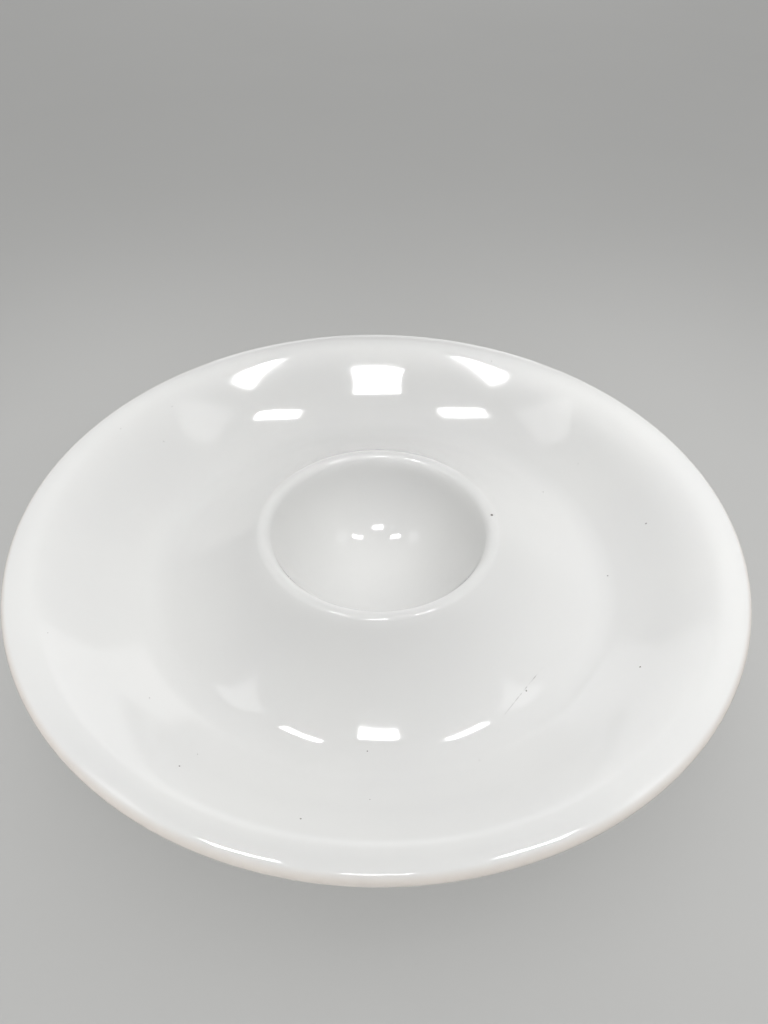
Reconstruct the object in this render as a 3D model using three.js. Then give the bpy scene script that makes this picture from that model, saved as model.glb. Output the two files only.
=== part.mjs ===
// Chip and dip platter: one fired clay dish with a dip well in its middle, under two coats of white glaze.
// Millimetres, +Z up. The origin is on the axis, on the table under the foot ring.
import * as THREE from "three";

const { degToRad } = THREE.MathUtils;

// Rim and wall
const RIM_RADIUS = 165; // axis to the widest line of the lip
const WALL = 6.8; // finished wall, glaze included; the lip is a full round of this width
const CREST_ROUND = 14.6; // radius of the turn over the top of the rim
const LIP_DROOP = degToRad(15.1); // how far the wall tips down where the lip ends it

// Chip channel, between the rising side and the bell
const CHANNEL_RADIUS = 106.2; // axis to the lowest line of the channel
const CHANNEL_DEPTH = 29.9; // rim crest to the lowest line of the channel
const CHANNEL_ROUND = 16.5; // radius of the channel's bottom

// Rising side, a slight S between the channel's round and the crest's
const SIDE_FOOT_SLOPE = degToRad(28); // where the channel's round ends
const SIDE_HEAD_SLOPE = degToRad(35.3); // where the crest's round begins

// Dip well: a bowl whose bead is the top of the bell
const BEAD_RADIUS = 53.7; // axis to the top line of the bead
const BEAD_ROUND = 4.5; // radius of the bead's roll
const BEAD_DROP = 3.3; // rim crest to the top line of the bead
const BELL_ROUND = 172; // radius of the slightly hollow flank of the bell
const BELL_FOOT_ROUND = 43.8; // radius where the bell runs out into the channel
const BELL_FOOT_SLOPE = degToRad(14.4); // where the channel's round takes over from it
const WELL_DEPTH = 35.5; // top line of the bead to the well's floor
const GROOVE_ROUND = 4; // radius at the top of the groove under the bead

// Foot ring, under the bottom of the channel
const FOOT_OFFSET = 3; // lowest line of the channel out to the middle of the ring
const FOOT_WIDTH = 7; // finished width of the ring
const FOOT_FILLET = 4; // radius where the ring runs into the dish
const FOOT_CHAMFER = 0.8; // on the two bottom edges of the ring
const WELL_CLEARANCE = 3; // table to the underside of the well

// Glaze
const GLAZE = 0.5; // thickness of a coat
const GLAZE_BOND = 0.05; // clearance between a coat and the clay under it
const BARE_FOOT = 3.5; // height of unglazed clay above the table

// Fineness of the mesh
const TURN_STEPS = 48; // flats round the axis
const ARC_STEP = degToRad(30); // largest turn between two points of an arc
const ARC_SAG = 0.25; // largest distance between an arc and its chords

// Section through the axis. A point is [radius, height]. An angle of 0 points away from the axis.
const UP = Math.PI / 2;
const DOWN = -UP;
const moved = ([r, z], angle, length) => [r + length * Math.cos(angle), z + length * Math.sin(angle)];
const angleTo = (from, to) => Math.atan2(to[1] - from[1], to[0] - from[0]);
const spanOf = (from, to) => Math.hypot(to[0] - from[0], to[1] - from[1]);

// The point at given distances from two centres, on the left of the way from the first centre to the second.
function atDistances(first, firstDistance, second, secondDistance) {
  const span = spanOf(first, second);
  const along = (firstDistance ** 2 - secondDistance ** 2 + span ** 2) / (2 * span);
  const aside = Math.sqrt(firstDistance ** 2 - along ** 2);
  const way = angleTo(first, second);
  return moved(moved(first, way, along), way + UP, aside);
}

// An arc of the section is [centre, radius, first angle, last angle]. Its radius is positive where the centre
// is in the air, and negative where it is in the wall. This arc starts at a point and turns between two slopes.
function turnedArc(start, radius, startSlope, endSlope) {
  const facing = -Math.sign(radius) * UP;
  return [moved(start, startSlope + UP, radius), radius, startSlope + facing, endSlope + facing];
}

// Two arcs between two points of given slopes. They touch each other, and their tangents are equally long.
function gentleBend(start, startSlope, end, endSlope) {
  const span = spanOf(start, end);
  const chordSlope = angleTo(start, end);
  const forward = span * (Math.cos(chordSlope - startSlope) + Math.cos(chordSlope - endSlope));
  const parting = 2 * (1 - Math.cos(endSlope - startSlope));
  const tangent = span ** 2 / (forward + Math.sqrt(forward ** 2 + parting * span ** 2));
  const firstCorner = moved(start, startSlope, tangent);
  const lastCorner = moved(end, endSlope, -tangent);
  const middleSlope = angleTo(firstCorner, lastCorner);
  const middle = moved(firstCorner, middleSlope, tangent);
  const firstRadius = tangent / Math.tan((middleSlope - startSlope) / 2);
  const lastRadius = tangent / Math.tan((endSlope - middleSlope) / 2);
  return [
    turnedArc(start, firstRadius, startSlope, middleSlope),
    turnedArc(middle, lastRadius, middleSlope, endSlope),
  ];
}

// Heights add up from the table.
const wellFloor = WELL_CLEARANCE + WALL;
const beadTop = wellFloor + WELL_DEPTH;
const rimTop = beadTop + BEAD_DROP;

// The clay lies under the finished surface by the coat and its clearance.
const clayInset = GLAZE + GLAZE_BOND;

// Centres of the circles that shape the section. Each circle touches the next.
const lipEnd = UP - LIP_DROOP;
const lipRound = WALL / 2;
const lip = [RIM_RADIUS - lipRound, rimTop - CREST_ROUND + (CREST_ROUND - lipRound) * Math.sin(lipEnd)];
const crest = moved(lip, lipEnd, lipRound - CREST_ROUND);
const channel = [CHANNEL_RADIUS, rimTop - CHANNEL_DEPTH + CHANNEL_ROUND];
const channelStart = DOWN - BELL_FOOT_SLOPE;
const bellFoot = moved(channel, channelStart, CHANNEL_ROUND - BELL_FOOT_ROUND);
const bead = [BEAD_RADIUS, beadTop - BEAD_ROUND];
const bell = atDistances(bead, BELL_ROUND + BEAD_ROUND, bellFoot, BELL_ROUND - BELL_FOOT_ROUND);
const bellEnd = angleTo(bell, bellFoot);
const beadRise = bead[1] - wellFloor;
const wellRound = (BEAD_RADIUS ** 2 + beadRise ** 2 - BEAD_ROUND ** 2) / (2 * (BEAD_ROUND + beadRise));
const well = [0, wellFloor + wellRound];
const groove = atDistances(bell, BELL_ROUND + WALL + GROOVE_ROUND, well, wellRound + WALL + GROOVE_ROUND);

// The rising side joins the channel's circle to the crest's.
const channelEnd = DOWN + SIDE_FOOT_SLOPE;
const crestStart = UP + SIDE_HEAD_SLOPE;
const sideFoot = moved(channel, channelEnd, CHANNEL_ROUND);
const sideHead = moved(crest, crestStart, CREST_ROUND);
const [lowerSide, upperSide] = gentleBend(sideFoot, SIDE_FOOT_SLOPE, sideHead, SIDE_HEAD_SLOPE);

// The foot ring's fillets touch the ring's sides and the underside of the channel.
const footRadius = CHANNEL_RADIUS + FOOT_OFFSET;
const footOuter = footRadius + FOOT_WIDTH / 2;
const footInner = footRadius - FOOT_WIDTH / 2;
const filletReach = CHANNEL_ROUND + WALL + FOOT_FILLET;
const filletAt = (radius) => [radius, channel[1] - Math.sqrt(filletReach ** 2 - (radius - CHANNEL_RADIUS) ** 2)];
const outerFillet = filletAt(footOuter + FOOT_FILLET);
const innerFillet = filletAt(footInner - FOOT_FILLET);

// The other face of the wall under an arc, drawn the other way.
const behind = ([centre, radius, from, to]) => [centre, -(radius + WALL), to, from];

// From the well's floor over the bead and the rim, and back under the rim to the foot ring.
const upperArcs = [
  [well, wellRound, DOWN, angleTo(well, bead)],
  [bead, -BEAD_ROUND, angleTo(bead, well), UP],
  [bead, -BEAD_ROUND, UP, angleTo(bead, bell)],
  [bell, BELL_ROUND, angleTo(bell, bead), bellEnd],
  [bellFoot, BELL_FOOT_ROUND, bellEnd, channelStart],
  [channel, CHANNEL_ROUND, channelStart, DOWN],
  [channel, CHANNEL_ROUND, DOWN, channelEnd],
  lowerSide,
  upperSide,
  [crest, -CREST_ROUND, crestStart, UP],
  [crest, -CREST_ROUND, UP, lipEnd],
  [lip, -lipRound, lipEnd, 0],
  [lip, -lipRound, 0, lipEnd - Math.PI],
  behind([crest, -CREST_ROUND, crestStart, lipEnd]),
  behind(upperSide),
  behind(lowerSide),
  behind([channel, CHANNEL_ROUND, angleTo(channel, outerFillet), channelEnd]),
  [outerFillet, FOOT_FILLET, angleTo(outerFillet, channel), Math.PI],
];

// From the underside of the well over the groove, and under the bell and the channel to the foot ring.
const lowerArcs = [
  [well, -(wellRound + WALL), DOWN, angleTo(well, groove)],
  [groove, GROOVE_ROUND, angleTo(groove, well), angleTo(groove, bell)],
  [bell, -(BELL_ROUND + WALL), angleTo(bell, groove), bellEnd],
  [bellFoot, -(BELL_FOOT_ROUND + WALL), bellEnd, channelStart],
  [channel, -(CHANNEL_ROUND + WALL), channelStart, angleTo(channel, innerFillet)],
  [innerFillet, FOOT_FILLET, angleTo(innerFillet, channel), 0],
];

// Points on an arc of the finished surface, set into the wall by an inset.
function arcPoints([centre, radius, from, to], inset) {
  const step = Math.min(ARC_STEP, 2 * Math.acos(1 - ARC_SAG / Math.abs(radius)));
  const steps = Math.ceil(Math.abs(to - from) / step);
  const angleAt = (i) => from + ((to - from) * i) / steps;
  return Array.from({ length: steps + 1 }, (_, i) => moved(centre, angleAt(i), Math.abs(radius + inset)));
}

// One line through arcs to a last point, without the repeated point where two arcs touch.
const SAME_POINT = 1e-6;
function lineThrough(arcs, inset, last) {
  const points = [...arcs.flatMap((arc) => arcPoints(arc, inset)), last];
  return points.filter((p, i) => i === 0 || spanOf(points[i - 1], p) > SAME_POINT);
}

// Both lines end on the sides of the foot ring, where its bare part begins.
const upperLine = (inset) => lineThrough(upperArcs, inset, [footOuter - inset, BARE_FOOT]);
const lowerLine = (inset) => lineThrough(lowerArcs, inset, [footInner + inset, BARE_FOOT]);

// The bare bottom of the foot ring, from its inner side to its outer side.
function footLine(inset) {
  return [
    [footInner + inset, FOOT_CHAMFER],
    [footInner + inset + FOOT_CHAMFER, 0],
    [footOuter - inset - FOOT_CHAMFER, 0],
    [footOuter - inset, FOOT_CHAMFER],
  ];
}

// Turns an outline that starts and ends on the axis into a solid round +Z.
function turned(name, outline, material) {
  const points = outline.map(([radius, height]) => new THREE.Vector2(Math.max(radius, 0), height));
  const geometry = new THREE.LatheGeometry(points, TURN_STEPS).rotateX(UP);
  const mesh = new THREE.Mesh(geometry, material);
  mesh.name = name;
  return mesh;
}

// The whole fired wall, pale and matt. Only the bottom of its foot ring is bare.
function clayBody() {
  const clay = new THREE.MeshStandardMaterial({ color: "#d9cfc0", roughness: 0.85, metalness: 0 });
  const outline = [...lowerLine(clayInset), ...footLine(clayInset), ...upperLine(clayInset).reverse()];
  return turned("clay_body", outline, clay);
}

// The white gloss coat on everything above the outer side of the foot ring.
function upperGlaze() {
  const glaze = new THREE.MeshStandardMaterial({ color: "#efefec", roughness: 0.12, metalness: 0 });
  return turned("upper_glaze", [...upperLine(GLAZE), ...upperLine(0).reverse()], glaze);
}

// The white coat inside the foot ring.
function undersideGlaze() {
  const glaze = new THREE.MeshStandardMaterial({ color: "#ebebe7", roughness: 0.2, metalness: 0 });
  return turned("underside_glaze", [...lowerLine(0), ...lowerLine(GLAZE).reverse()], glaze);
}

const platter = new THREE.Group();
platter.name = "chip_and_dip_platter";
platter.add(clayBody(), upperGlaze(), undersideGlaze());

export default platter;
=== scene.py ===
import math

import bmesh
import bpy
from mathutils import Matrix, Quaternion, Vector


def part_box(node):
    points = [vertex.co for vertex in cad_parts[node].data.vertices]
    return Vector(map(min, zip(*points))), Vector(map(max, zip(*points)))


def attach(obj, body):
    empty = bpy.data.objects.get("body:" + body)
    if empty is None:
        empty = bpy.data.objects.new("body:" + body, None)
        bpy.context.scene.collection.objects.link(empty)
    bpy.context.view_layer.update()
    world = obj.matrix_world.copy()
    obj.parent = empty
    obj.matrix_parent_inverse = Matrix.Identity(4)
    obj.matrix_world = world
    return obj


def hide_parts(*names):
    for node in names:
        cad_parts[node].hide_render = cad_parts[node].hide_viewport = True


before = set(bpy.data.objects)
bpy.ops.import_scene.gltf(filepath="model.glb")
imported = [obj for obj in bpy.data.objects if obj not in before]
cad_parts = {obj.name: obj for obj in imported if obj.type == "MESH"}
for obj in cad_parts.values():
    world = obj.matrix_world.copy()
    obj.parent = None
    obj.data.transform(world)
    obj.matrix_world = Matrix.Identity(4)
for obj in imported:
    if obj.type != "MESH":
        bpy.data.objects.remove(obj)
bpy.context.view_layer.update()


# Clay body. One wall of pale fired clay forms the well, bell, channel, side, rim and foot ring.
# It is shaped in a mould, trimmed on its underside and fired. The bottom of its foot ring stays bare,
# because it stands on the kiln shelf while the glaze melts.
rim_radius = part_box("upper_glaze")[1].x
rim_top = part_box("upper_glaze")[1].z
bare_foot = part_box("upper_glaze")[0].z
well_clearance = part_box("underside_glaze")[0].z

wall = 0.0068
crest_round = 0.0146
lip_droop = math.radians(15.1)
lip_round = wall / 2
channel_radius = 0.1062
channel_depth = 0.0299
channel_round = 0.0165
side_foot_slope = math.radians(28)
side_head_slope = math.radians(35.3)
bead_radius = 0.0537
bead_round = 0.0045
bead_drop = 0.0033
bell_round = 0.172
bell_foot_round = 0.0438
bell_foot_slope = math.radians(14.4)
groove_round = 0.004
foot_offset = 0.003
foot_radius = channel_radius + foot_offset
foot_width = 0.007
foot_fillet = 0.004
foot_edge = 0.0008
coat = 0.0005
coat_gap = 0.00005
clay_inset = coat + coat_gap

UP = math.pi / 2
DOWN = -UP


def moved(place, angle, length):
    """A point of the section, (radius, height), moved along an angle. Angle 0 points away from the axis."""
    return place[0] + length * math.cos(angle), place[1] + length * math.sin(angle)


def seen(place, other):
    """The angle at which one point of the section sees another."""
    return math.atan2(other[1] - place[1], other[0] - place[0])


def at_distances(first, first_distance, second, second_distance):
    """The point at two distances from two others, on the left of the way from the first to the second."""
    span = math.dist(first, second)
    along = (first_distance**2 - second_distance**2 + span**2) / (2 * span)
    aside = math.sqrt(first_distance**2 - along**2)
    way = seen(first, second)
    return moved(moved(first, way, along), way + UP, aside)


def slope_arc(start, radius, start_slope, end_slope):
    """An arc: centre, radius, first and last angle. With a negative radius its centre is in the wall."""
    facing = -math.copysign(UP, radius)
    return moved(start, start_slope + UP, radius), radius, start_slope + facing, end_slope + facing


def gentle_bend(start, start_slope, end, end_slope):
    """Two arcs between two points of given slopes. They touch, and their tangents are equally long."""
    span = math.dist(start, end)
    chord_slope = seen(start, end)
    forward = span * (math.cos(chord_slope - start_slope) + math.cos(chord_slope - end_slope))
    parting = 2 * (1 - math.cos(end_slope - start_slope))
    tangent = span**2 / (forward + math.sqrt(forward**2 + parting * span**2))
    first_corner = moved(start, start_slope, tangent)
    middle_slope = seen(first_corner, moved(end, end_slope, -tangent))
    middle = moved(first_corner, middle_slope, tangent)
    first_radius = tangent / math.tan((middle_slope - start_slope) / 2)
    last_radius = tangent / math.tan((end_slope - middle_slope) / 2)
    first = slope_arc(start, first_radius, start_slope, middle_slope)
    return first, slope_arc(middle, last_radius, middle_slope, end_slope)


def behind(arc):
    """The other face of the wall under an arc, drawn the other way."""
    centre, radius, start, end = arc
    return centre, -(radius + wall), end, start


# Centres of the circles that shape the section. Each circle touches the next.
well_floor = well_clearance + wall
bead_top = rim_top - bead_drop
lip_end = UP - lip_droop
lip = (rim_radius - lip_round, rim_top - crest_round + (crest_round - lip_round) * math.sin(lip_end))
crest = moved(lip, lip_end, lip_round - crest_round)
crest_start = UP + side_head_slope
channel = (channel_radius, rim_top - channel_depth + channel_round)
channel_start = DOWN - bell_foot_slope
channel_end = DOWN + side_foot_slope
bell_foot = moved(channel, channel_start, channel_round - bell_foot_round)
bead = (bead_radius, bead_top - bead_round)
bell = at_distances(bead, bell_round + bead_round, bell_foot, bell_round - bell_foot_round)
bell_end = seen(bell, bell_foot)
bead_rise = bead[1] - well_floor
well_round = (bead_radius**2 + bead_rise**2 - bead_round**2) / (2 * (bead_round + bead_rise))
well = (0, well_floor + well_round)
groove = at_distances(bell, bell_round + wall + groove_round, well, well_round + wall + groove_round)
side_foot = moved(channel, channel_end, channel_round)
side_head = moved(crest, crest_start, crest_round)
lower_side, upper_side = gentle_bend(side_foot, side_foot_slope, side_head, side_head_slope)

# The foot ring's fillets touch its sides and the underside of the channel.
foot_outer = foot_radius + foot_width / 2
foot_inner = foot_radius - foot_width / 2
fillet_reach = channel_round + wall + foot_fillet
outer_fillet_radius = foot_outer + foot_fillet
inner_fillet_radius = foot_inner - foot_fillet
outer_fillet_drop = math.sqrt(fillet_reach**2 - (outer_fillet_radius - channel_radius) ** 2)
inner_fillet_drop = math.sqrt(fillet_reach**2 - (inner_fillet_radius - channel_radius) ** 2)
outer_fillet = (outer_fillet_radius, channel[1] - outer_fillet_drop)
inner_fillet = (inner_fillet_radius, channel[1] - inner_fillet_drop)

upper_arcs = (
    (well, well_round, DOWN, seen(well, bead)),
    (bead, -bead_round, seen(bead, well), seen(bead, bell)),
    (bell, bell_round, seen(bell, bead), bell_end),
    (bell_foot, bell_foot_round, bell_end, channel_start),
    (channel, channel_round, channel_start, channel_end),
    lower_side,
    upper_side,
    (crest, -crest_round, crest_start, lip_end),
    (lip, -lip_round, lip_end, lip_end - math.pi),
    behind((crest, -crest_round, crest_start, lip_end)),
    behind(upper_side),
    behind(lower_side),
    behind((channel, channel_round, seen(channel, outer_fillet), channel_end)),
    (outer_fillet, foot_fillet, seen(outer_fillet, channel), math.pi),
)
lower_arcs = (
    (well, -(well_round + wall), DOWN, seen(well, groove)),
    (groove, groove_round, seen(groove, well), seen(groove, bell)),
    (bell, -(bell_round + wall), seen(bell, groove), bell_end),
    (bell_foot, -(bell_foot_round + wall), bell_end, channel_start),
    (channel, -(channel_round + wall), channel_start, seen(channel, inner_fillet)),
    (inner_fillet, foot_fillet, seen(inner_fillet, channel), 0),
)
section_step = 0.0022
section_turn = math.radians(8)
touching = 1e-6
turn_steps = 160


def pen_at(mesh, place):
    """The first point of a section."""
    return mesh.verts.new((place[0], 0, place[1]))


def line_to(mesh, pen, place):
    """A straight run of the section, in short steps. Returns the pen at its end."""
    way = Vector((place[0], 0, place[1])) - pen.co
    if way.length < touching:
        return pen
    steps = math.ceil(way.length / section_step)
    for _ in range(steps):
        pen = bmesh.ops.extrude_vert_indiv(mesh, verts=[pen])["verts"][0]
        bmesh.ops.translate(mesh, verts=[pen], vec=way / steps)
    return pen


def arcs_along(mesh, pen, arcs, inset):
    """Swings the pen round each arc, set into the wall by an inset. Returns the pen at the end."""
    for centre, radius, start, end in arcs:
        pen = line_to(mesh, pen, moved(centre, start, abs(radius + inset)))
        steps = math.ceil(abs(end - start) * max(abs(radius) / section_step, 1 / section_turn))
        swung = bmesh.ops.spin(
            mesh,
            geom=[pen],
            cent=(centre[0], 0, centre[1]),
            axis=(0, 1, 0),
            angle=start - end,
            steps=steps,
        )
        pen = next(part for part in swung["geom_last"] if isinstance(part, bmesh.types.BMVert))
    return pen


def backwards(arcs):
    """The same arcs, drawn from the last to the first."""
    return [(centre, radius, end, start) for centre, radius, start, end in reversed(arcs)]


def turned(mesh):
    """Turns a section once round the axis and closes its seam and its poles."""
    bmesh.ops.spin(
        mesh,
        geom=mesh.verts[:] + mesh.edges[:],
        cent=(0, 0, 0),
        axis=(0, 0, 1),
        angle=2 * math.pi,
        steps=turn_steps,
        use_merge=True,
    )
    bmesh.ops.remove_doubles(mesh, verts=mesh.verts[:], dist=touching)
    bmesh.ops.recalc_face_normals(mesh, faces=mesh.faces[:])


def finished(name, mesh, material):
    """A smooth object of the turned mesh."""
    for face in mesh.faces:
        face.smooth = True
    data = bpy.data.meshes.new(name)
    mesh.to_mesh(data)
    mesh.free()
    data.materials.append(material)
    piece = bpy.data.objects.new(name, data)
    bpy.context.scene.collection.objects.link(piece)
    return piece


def node(tree, kind, sockets, **settings):
    """One shader node, with its settings, and a value or a link for each socket that is named or numbered."""
    made = tree.nodes.new("ShaderNode" + kind)
    for name, value in settings.items():
        setattr(made, name, value)
    for socket, value in sockets.items():
        if isinstance(value, bpy.types.NodeSocket):
            tree.links.new(value, made.inputs[socket])
        else:
            made.inputs[socket].default_value = value
    return made


def noise(tree, place, scale, detail):
    """Noise with spots of about 1 / scale metres."""
    sockets = {"Vector": place, "Scale": scale, "Detail": detail}
    return node(tree, "TexNoise", sockets).outputs["Fac"]


def eased(tree, value, low, high, first=0.0, last=1.0):
    """A smooth change from first to last as a value goes from low to high."""
    sockets = {"Value": value, "From Min": low, "From Max": high, "To Min": first, "To Max": last}
    return node(tree, "MapRange", sockets, interpolation_type="SMOOTHSTEP").outputs["Result"]


def worked(tree, operation, first, second):
    """One sum of two values."""
    return node(tree, "Math", {0: first, 1: second}, operation=operation).outputs["Value"]


def mixed(tree, share, first, second):
    """A colour between two colours. The node's inputs 6 and 7 are the colours, and output 2 the result."""
    sockets = {"Factor": share, 6: first, 7: second}
    return node(tree, "Mix", sockets, data_type="RGBA").outputs[2]


clay_pale = (0.66, 0.6, 0.5, 1)
clay_dark = (0.55, 0.48, 0.38, 1)
clay_worn = (0.36, 0.33, 0.29, 1)
clay_roughness = (0.78, 0.92)
blotch_scale = 90
blotch_detail = 5
blotch_limits = (0.35, 0.65)
blotch_rough_limits = (0.3, 0.7)
grit_scale = 1300
grit_detail = 4
grit_limits = (0.62, 0.75)
grit_share = 0.5
grit_height = 0.0001
grit_strength = 0.8
wear_height = 0.0005
wear_limits = (0.4, 0.65)
wear_share = 0.7

bare_clay = bpy.data.materials.new("bare_clay")
bare_clay.use_nodes = True
tree = bare_clay.node_tree
place = node(tree, "TexCoord", {}).outputs["Object"]
height = node(tree, "SeparateXYZ", {"Vector": place}).outputs["Z"]
blotches = noise(tree, place, blotch_scale, blotch_detail)
grit = noise(tree, place, grit_scale, grit_detail)
worn = worked(tree, "MULTIPLY", eased(tree, height, wear_height, 0), eased(tree, blotches, *wear_limits))
colour = mixed(tree, eased(tree, blotches, *blotch_limits), clay_pale, clay_dark)
colour = mixed(tree, eased(tree, grit, *grit_limits, 0, grit_share), colour, clay_dark)
colour = mixed(tree, worked(tree, "MULTIPLY", worn, wear_share), colour, clay_worn)
roughness = eased(tree, blotches, *blotch_rough_limits, *clay_roughness)
bump = node(tree, "Bump", {"Strength": grit_strength, "Distance": grit_height, "Height": grit})
shader = tree.nodes["Principled BSDF"]
tree.links.new(colour, shader.inputs["Base Color"])
tree.links.new(roughness, shader.inputs["Roughness"])
tree.links.new(bump.outputs["Normal"], shader.inputs["Normal"])

foot_corners = (
    ((foot_inner + clay_inset + foot_edge, foot_edge), -foot_edge, math.pi, math.pi + UP),
    ((foot_outer - clay_inset - foot_edge, foot_edge), -foot_edge, DOWN, 0),
)
mesh = bmesh.new()
pen = pen_at(mesh, (0, well_clearance + clay_inset))
pen = arcs_along(mesh, pen, lower_arcs, clay_inset)
pen = arcs_along(mesh, pen, foot_corners, 0)
arcs_along(mesh, pen, backwards(upper_arcs), clay_inset)
turned(mesh)
clay_body = finished("clay_wall", mesh, bare_clay)
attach(clay_body, "root")
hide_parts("clay_body")


# Upper glaze. A coat of opaque white glass covers the well, the bead, the bell, the channel, the side and
# the rim, runs round under the rim to the outer side of the foot ring, and fuses to the clay in the kiln.
# Its lower edge is wiped by hand before firing, so it wanders a little and ends in a round bead.
def glaze_section(arcs, foot_side, towards_axis):
    """A coat's section: along the finished surface, round its lower edge, and back along the clay."""
    edge = (foot_side + towards_axis * coat / 2, bare_foot + coat / 2)
    first, last = (0, -math.pi) if towards_axis < 0 else (math.pi, 2 * math.pi)
    mesh = bmesh.new()
    pen = pen_at(mesh, moved(arcs[0][0], DOWN, abs(arcs[0][1])))
    pen = arcs_along(mesh, pen, arcs, 0)
    pen = arcs_along(mesh, pen, [(edge, -coat / 2, first, last)], 0)
    arcs_along(mesh, pen, backwards(arcs), coat)
    return mesh


wipe_waves = ((3, 0.4, 0.5), (7, 1.9, 0.3), (17, 4.0, 0.2))
wipe_rise = 0.0012
wipe_reach = 0.004


def wiped_edge(mesh, turn):
    """Lifts the coat's lower edge by slow waves round the foot ring."""
    for vert in mesh.verts:
        share = 1 - (vert.co.z - bare_foot) / wipe_reach
        if share > 0 and abs(math.hypot(vert.co.x, vert.co.y) - foot_radius) < foot_width:
            around = math.atan2(vert.co.y, vert.co.x) + turn
            rises = [part * (1 + math.sin(count * around + start)) / 2 for count, start, part in wipe_waves]
            vert.co.z += wipe_rise * sum(rises) * share


speck_cells = 45
speck_limit = 0.8
speck_size = 0.00035
speck_least_share = 0.4
speck_start = 0.085
speck_end = 0.152
speck_brown = (0.1, 0.085, 0.07, 1)
# How far in from the rim's edge the glaze turns warmer and greyer, and that colour.
rim_edge_reach = 0.003
rim_edge_warm = (0.76, 0.71, 0.66, 1)
cloud_scale = 14
cloud_detail = 3
cloud_limits = (0.3, 0.7)
cloud_gloss_limits = (0.35, 0.65)
ripple_scale = 60
ripple_detail = 1
ripple_height = 0.00004
peel_scale = 420
peel_detail = 2
peel_height = 0.000001
glass_ior = 1.5


def plan_of(tree, place):
    """The place seen from above, with its height left out."""
    return node(tree, "VectorMath", {0: place, 1: (1, 1, 0)}, operation="MULTIPLY").outputs["Vector"]


def glaze_material(name, white, shade, gloss, speck_shift):
    """Opaque white glass: faint clouds, a few iron specks, and a warmer, greyer line along the rim's edge."""
    material = bpy.data.materials.new(name)
    material.use_nodes = True
    tree = material.node_tree
    place = node(tree, "TexCoord", {}).outputs["Object"]
    plan = plan_of(tree, place)
    clouds = noise(tree, place, cloud_scale, cloud_detail)
    colour = mixed(tree, eased(tree, clouds, *cloud_limits), white, shade)
    radius = node(tree, "VectorMath", {0: plan}, operation="LENGTH").outputs["Value"]
    # Near the rim's edge the colour turns warmer and greyer.
    colour = mixed(tree, eased(tree, radius, rim_radius - rim_edge_reach, rim_radius), colour, rim_edge_warm)
    shifted = node(tree, "VectorMath", {0: plan, 1: speck_shift}, operation="ADD").outputs["Vector"]
    cells = node(tree, "TexVoronoi", {"Vector": shifted, "Scale": speck_cells}, voronoi_dimensions="2D")
    chance = node(tree, "SeparateColor", {"Color": cells.outputs["Color"]}).outputs
    size_share = eased(tree, chance["Green"], 0, 1, speck_least_share, 1)
    reach = worked(tree, "MULTIPLY", size_share, speck_size * speck_cells)
    inside = worked(tree, "LESS_THAN", cells.outputs["Distance"], reach)
    specks = worked(tree, "MULTIPLY", inside, worked(tree, "GREATER_THAN", chance["Red"], speck_limit))
    specks = worked(tree, "MULTIPLY", specks, worked(tree, "GREATER_THAN", radius, speck_start))
    specks = worked(tree, "MULTIPLY", specks, worked(tree, "LESS_THAN", radius, speck_end))
    colour = mixed(tree, specks, colour, speck_brown)
    ripples = noise(tree, place, ripple_scale, ripple_detail)
    broad = node(tree, "Bump", {"Strength": 1, "Distance": ripple_height, "Height": ripples})
    peel = noise(tree, place, peel_scale, peel_detail)
    pits = {"Strength": 1, "Distance": peel_height, "Height": peel, "Normal": broad.outputs["Normal"]}
    fine = node(tree, "Bump", pits)
    shader = tree.nodes["Principled BSDF"]
    shader.inputs["IOR"].default_value = glass_ior
    tree.links.new(colour, shader.inputs["Base Color"])
    tree.links.new(eased(tree, clouds, *cloud_gloss_limits, *gloss), shader.inputs["Roughness"])
    tree.links.new(fine.outputs["Normal"], shader.inputs["Normal"])
    return material


upper_white = (0.82, 0.82, 0.805, 1)
upper_shade = (0.8, 0.8, 0.79, 1)
upper_gloss = (0.05, 0.08)
upper_shift = (0, 0, 0)
upper_wipe_turn = 0
white_glaze = glaze_material("white_glaze", upper_white, upper_shade, upper_gloss, upper_shift)

# Two marks of use on the upper coat: a straight knife scratch in the channel, and a chip on the bead.
scratch_middle = (0.0614, -0.0738, 0)
scratch_turn = math.radians(50.4)
scratch_half_length = 0.017
scratch_half_width = 0.00025
scratch_grey = (0.42, 0.41, 0.4, 1)
break_scale = 350
break_detail = 2
break_limits = (0.4, 0.55)
chip_place = (0.0532, 0.008, 0)
chip_size = 0.0008
chip_grey = (0.16, 0.15, 0.14, 1)

tree = white_glaze.node_tree
shader = tree.nodes["Principled BSDF"]
colour = shader.inputs["Base Color"].links[0].from_socket
place = node(tree, "TexCoord", {}).outputs["Object"]
plan = plan_of(tree, place)
drawn = {"Vector": plan, "Location": scratch_middle, "Rotation": (0, 0, scratch_turn)}
on_scratch = node(tree, "Mapping", drawn, vector_type="TEXTURE").outputs["Vector"]
along, across, _ = node(tree, "SeparateXYZ", {"Vector": on_scratch}).outputs
beside = eased(tree, worked(tree, "ABSOLUTE", across, 0), scratch_half_width, 0)
beyond = eased(tree, worked(tree, "ABSOLUTE", along, 0), scratch_half_length, scratch_half_length / 2)
broken = eased(tree, noise(tree, place, break_scale, break_detail), *break_limits)
scratch = worked(tree, "MULTIPLY", worked(tree, "MULTIPLY", beside, beyond), broken)
colour = mixed(tree, scratch, colour, scratch_grey)
away = node(tree, "VectorMath", {0: plan, 1: chip_place}, operation="DISTANCE").outputs["Value"]
colour = mixed(tree, eased(tree, away, chip_size, chip_size / 2), colour, chip_grey)
tree.links.new(colour, shader.inputs["Base Color"])

mesh = glaze_section(upper_arcs, foot_outer, -1)
turned(mesh)
wiped_edge(mesh, upper_wipe_turn)
upper_glaze = finished("upper_coat", mesh, white_glaze)
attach(upper_glaze, "root")
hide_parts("upper_glaze")


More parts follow.
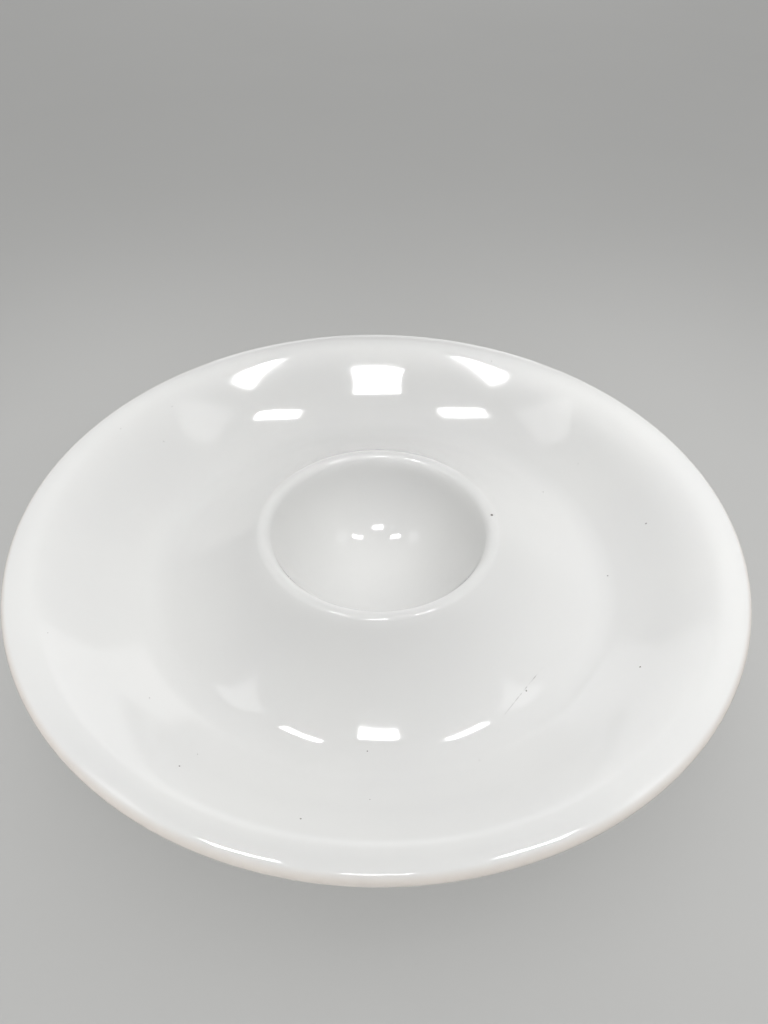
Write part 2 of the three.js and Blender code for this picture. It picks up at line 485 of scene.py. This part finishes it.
# Underside glaze. The same white glass covers the underside within the foot ring: below the well, in the
# groove under the bead, and under the bell and the channel. It is poured in and left as it flows,
# so it is a little warmer and less glossy than the upper coat.
under_white = (0.79, 0.785, 0.76, 1)
under_shade = (0.75, 0.74, 0.71, 1)
under_gloss = (0.1, 0.18)
under_shift = (0.4, 0.7, 0)
under_wipe_turn = 1
under_glaze = glaze_material("under_glaze", under_white, under_shade, under_gloss, under_shift)
mesh = glaze_section(lower_arcs, foot_inner, 1)
turned(mesh)
wiped_edge(mesh, under_wipe_turn)
underside_glaze = finished("underside_coat", mesh, under_glaze)
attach(underside_glaze, "root")
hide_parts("underside_glaze")


# Floor. A plain pale matt sheet, large enough to fill the view behind the platter. Half of what is seen of it
# is its own even pale grey, so that it doesn't darken away from the lamps. The other half takes the shadow.
# It can't be seen from below, so the underside of the platter can.
floor_reach = 6
floor_pale = (0.5, 0.5, 0.49, 1)
floor_shade = (0.48, 0.48, 0.47, 1)
floor_roughness = 0.85
floor_cloud_scale = 5
floor_cloud_detail = 4
floor_level = 1.2
floor_own_share = 0.5
floor_gap = 0.0001


def seen_ray(tree):
    """1 for a ray by which a surface is seen, directly, mirrored or through glass. 0 for one that lights."""
    ray = node(tree, "LightPath", {}).outputs
    clear = worked(tree, "MAXIMUM", ray["Is Glossy Ray"], ray["Is Transmission Ray"])
    return worked(tree, "MAXIMUM", ray["Is Camera Ray"], clear)


matt_sheet = bpy.data.materials.new("matt_sheet")
matt_sheet.use_nodes = True
tree = matt_sheet.node_tree
place = node(tree, "TexCoord", {}).outputs["Object"]
clouds = noise(tree, place, floor_cloud_scale, floor_cloud_detail)
colour = mixed(tree, clouds, floor_pale, floor_shade)
shader = tree.nodes["Principled BSDF"]
shader.inputs["Roughness"].default_value = floor_roughness
tree.links.new(colour, shader.inputs["Base Color"])
even = node(tree, "Emission", {"Color": colour, "Strength": floor_level})
own_share = worked(tree, "MULTIPLY", seen_ray(tree), floor_own_share)
shown = node(tree, "MixShader", {0: own_share, 1: shader.outputs["BSDF"], 2: even.outputs["Emission"]})
below = node(tree, "NewGeometry", {}).outputs["Backfacing"]
clear = node(tree, "BsdfTransparent", {})
shown = node(tree, "MixShader", {0: below, 1: shown.outputs["Shader"], 2: clear.outputs["BSDF"]})
tree.links.new(shown.outputs["Shader"], tree.nodes["Material Output"].inputs["Surface"])
mesh = bmesh.new()
bmesh.ops.create_grid(mesh, x_segments=1, y_segments=1, size=floor_reach)
bmesh.ops.translate(mesh, verts=mesh.verts[:], vec=(0, 0, -floor_gap))
floor = finished("floor", mesh, matt_sheet)


# Lamps. Two long soft boxes over the left and right of the platter, two small ones in front and to its right,
# and a weak disc below it give light and don't mirror. Three bright ceiling panels only mirror in the glaze.
# Two dim panels and a pale screen at the back do both. Brightness is a lamp face's, where 1 is white.
long_height = lip[1] + 0.2
long_size = (0.18, 0.54)
long_boxes = {"left": (-0.18, 1.98), "right": (0.18, 2.1)}
front_place = (0, -0.36, lip[1] + 0.2)
front_size = (0.18, 0.18)
front_brightness = 1.97
right_place = (0.6, 0, lip[1] + 0.42)
right_size = (0.3, 0.3)
right_brightness = 2.56
ceiling_height = lip[1] + 1.98
panel_turn = math.radians(3.7)
panel_width = 0.357
panel_brightness = 36
panels = {
    "left": (-0.574, -0.147, 0.142),
    "middle": (0.023, -0.5275, 0.165),
    "right": (0.706, -0.074, 0.142),
}
dim_size = (0.48, 0.55)
dim_brightness = 1.8
dim_places = {"left": (-1.3, 0.04), "right": (1.37, 0.12)}
screen_place = (-0.03, 2, lip[1] + 0.465)
screen_size = (1.28, 0.93)
screen_brightness = 0.8
under_place = (0, 0, -floor_gap / 2)
under_size = (0.222, 0.222)
under_brightness = 0.3


def soft_lamp(name, place, size, brightness):
    """A flat lamp that faces down until it is turned, and isn't seen itself."""
    lamp = bpy.data.lights.new(name, "AREA")
    lamp.shape = "RECTANGLE"
    lamp.size, lamp.size_y = size
    lamp.energy = brightness * math.pi * size[0] * size[1]
    holder = bpy.data.objects.new(name, lamp)
    holder.location = place
    holder.visible_camera = False
    bpy.context.scene.collection.objects.link(holder)
    return holder


for side, (x, brightness) in long_boxes.items():
    long_box = soft_lamp("long_box_" + side, (x, 0, long_height), long_size, brightness)
    long_box.visible_glossy = False
front_box = soft_lamp("front_box", front_place, front_size, front_brightness)
front_box.visible_glossy = False
right_box = soft_lamp("right_box", right_place, right_size, right_brightness)
right_box.visible_glossy = False
for side, (x, y, depth) in panels.items():
    panel = soft_lamp("panel_" + side, (x, y, ceiling_height), (panel_width, depth), panel_brightness)
    panel.rotation_euler = (0, 0, panel_turn)
    panel.visible_diffuse = False
for side, (x, y) in dim_places.items():
    soft_lamp("dim_panel_" + side, (x, y, ceiling_height), dim_size, dim_brightness)
screen = soft_lamp("screen", screen_place, screen_size, screen_brightness)
screen.rotation_euler = (DOWN, 0, 0)
under_lamp = soft_lamp("under_lamp", under_place, under_size, under_brightness)
under_lamp.data.shape = "DISK"
under_lamp.rotation_euler = (math.pi, 0, 0)
under_lamp.visible_glossy = False

# A dim room, with a pale glow low at the back and a bright low band round the front. The band lights the
# rim's edge and doesn't mirror. Where the room itself is seen it is an even grey, and it mirrors no darker.
room_level = 0.08
room_seen = 0.35
glow_level = 0.6
glow_reach = math.radians(45)
glow_rise = math.radians(12)
glow_turn = math.radians(65)
glow_way = Vector((math.cos(glow_rise), 0, math.sin(glow_rise)))
glow_way.rotate(Quaternion((0, 0, 1), glow_turn))
band_level = 13.3
band_middle = math.radians(245)
band_reach = math.radians(75)
band_full = math.radians(25)
band_top = math.radians(6)


def blended(tree, share, first, second):
    """A value between two values. The node's inputs 2 and 3 are the values, and output 0 the result."""
    return node(tree, "Mix", {0: share, 2: first, 3: second}).outputs[0]


room = bpy.data.worlds.new("room")
room.use_nodes = True
tree = room.node_tree
way = node(tree, "TexCoord", {}).outputs["Generated"]
facing = node(tree, "VectorMath", {0: way, 1: glow_way}, operation="DOT_PRODUCT").outputs["Value"]
level = eased(tree, facing, math.cos(glow_reach), 1, room_level, glow_level)
band_way = (math.cos(band_middle), math.sin(band_middle), 0)
aside = node(tree, "VectorMath", {0: way, 1: band_way}, operation="DOT_PRODUCT").outputs["Value"]
height = node(tree, "SeparateXYZ", {"Vector": way}).outputs["Z"]
band = eased(tree, aside, math.cos(band_reach), math.cos(band_full), 0, band_level)
band = worked(tree, "MULTIPLY", band, eased(tree, height, math.sin(band_top), 0))
mirrored = worked(tree, "MAXIMUM", level, room_seen)
level = blended(tree, seen_ray(tree), worked(tree, "ADD", level, band), mirrored)
level = blended(tree, node(tree, "LightPath", {}).outputs["Is Camera Ray"], level, room_seen)
backing = tree.nodes["Background"]
backing.inputs["Color"].default_value = (1, 1, 1, 1)
tree.links.new(level, backing.inputs["Strength"])
bpy.context.scene.world = room
bpy.context.scene.view_settings.view_transform = "Standard"


# Camera. It looks down at the platter from the front, at about 44 degrees and from arm's length.
# Its head is tipped slightly to one side.
eye = Vector((0, -0.27639, lip[1] + 0.26696))
aim = Vector((0.00251, 0.00953, lip[1]))
head_tip = math.radians(1.126)
sensor_long_side = 36
focal_pixels = 830
image_long_side = 1024
nearest_seen = 0.01

lens = bpy.data.cameras.new("camera")
lens.sensor_width = sensor_long_side
lens.lens = focal_pixels / image_long_side * sensor_long_side
lens.clip_start = nearest_seen
camera = bpy.data.objects.new("camera", lens)
camera.location = eye
level_head = (aim - eye).to_track_quat("-Z", "Y")
camera.rotation_euler = (level_head @ Quaternion((0, 0, 1), head_tip)).to_euler()
bpy.context.scene.collection.objects.link(camera)
bpy.context.scene.camera = camera
